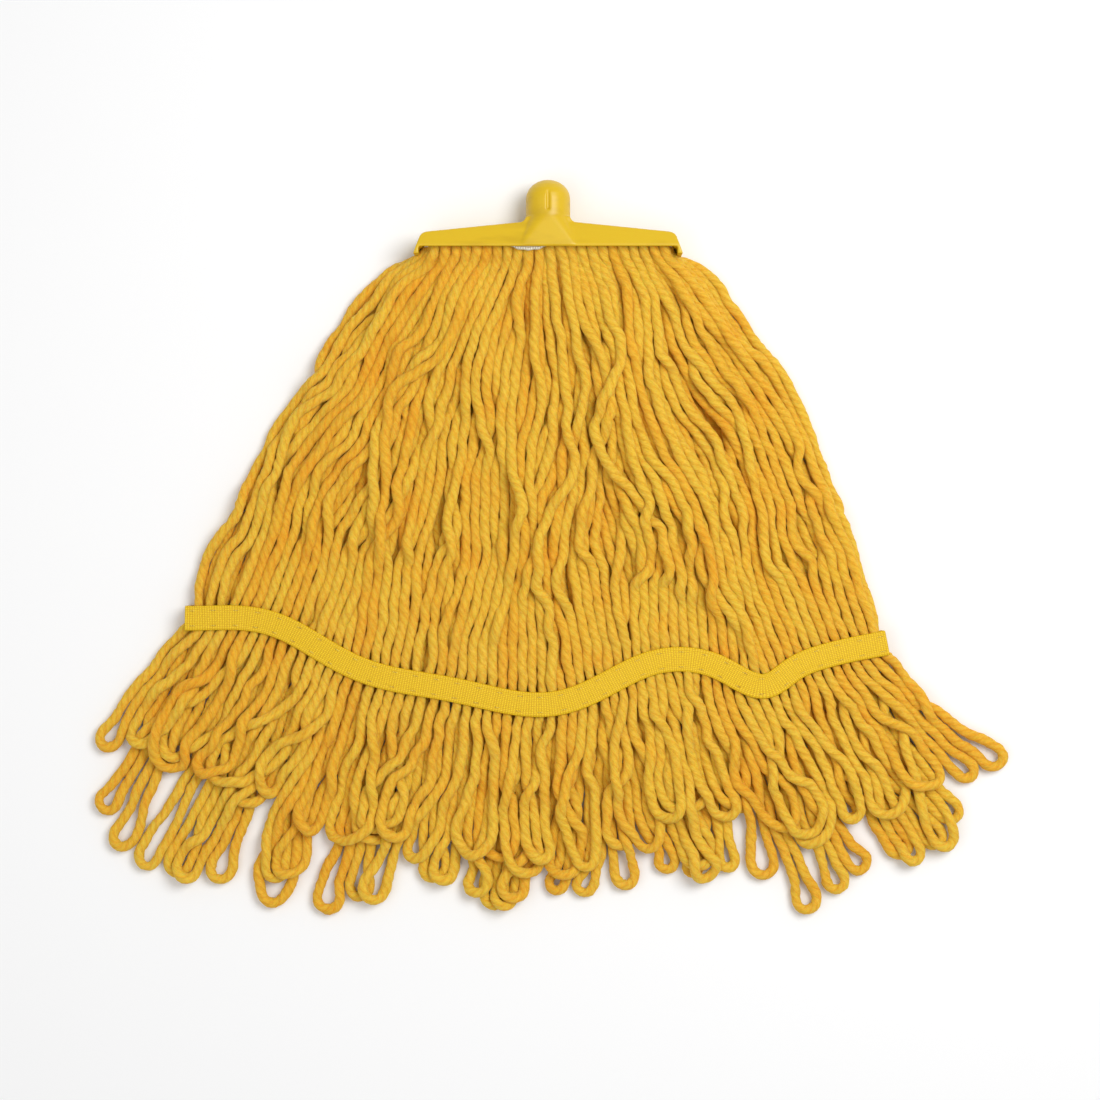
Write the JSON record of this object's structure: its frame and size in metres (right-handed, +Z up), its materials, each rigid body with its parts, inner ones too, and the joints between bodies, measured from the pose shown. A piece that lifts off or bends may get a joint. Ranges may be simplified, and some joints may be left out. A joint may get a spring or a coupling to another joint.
{
  "type": "string mop head",
  "caption": "Flat-lying looped-end string mop head: a push-fit neck on a slim yoke, a fan of plied yarn in two halves and a tape sewn across them.",
  "frame": {"origin": "on the neck's axis, at the middle of its straight wall, where a handle's socket seats", "axes": "+Y out along the neck, +X to the right seen from the front half, +Z up off the surface that the head lies on"},
  "size_m": [0.5349, 0.4162, 0.0283],
  "materials": {
    "plastic": "injection-moulded polypropylene, yellow, satin",
    "yarn": "four-ply spun cotton and polyester yarn, golden yellow",
    "tail_tape": "woven polyester tape with cross ribs, yellow",
    "headband_tape": "woven polyester tape, off-white",
    "thread": "polyester sewing thread, yellow"
  },
  "bodies": {
    "yarn": {"front_yarn_1": "yarn", "front_yarn_2": "yarn", "front_yarn_3": "yarn", "front_yarn_4": "yarn", "front_yarn_5": "yarn", "front_yarn_6": "yarn", "front_yarn_7": "yarn", "front_yarn_8": "yarn", "back_yarn_1": "yarn", "back_yarn_2": "yarn", "back_yarn_3": "yarn", "back_yarn_4": "yarn", "back_yarn_5": "yarn", "back_yarn_6": "yarn", "back_yarn_7": "yarn", "back_yarn_8": "yarn", "front_tape_outer": "tail_tape", "front_tape_inner": "tail_tape", "back_tape_inner": "tail_tape", "back_tape_outer": "tail_tape", "front_stitching": "thread", "back_stitching": "thread"},
    "fitting": {"yoke": "plastic", "rear_cover": "plastic", "headband": "headband_tape", "headband_stitching": "thread", "clamped_yarn": "yarn"}
  },
  "joints": [
    {"name": "neck_lift", "type": "hinge", "parent": "yarn", "child": "fitting", "pos_m": [0, -0.053, 0], "axis": [1, 0, 0], "range_deg": [0, 90]}
  ]
}
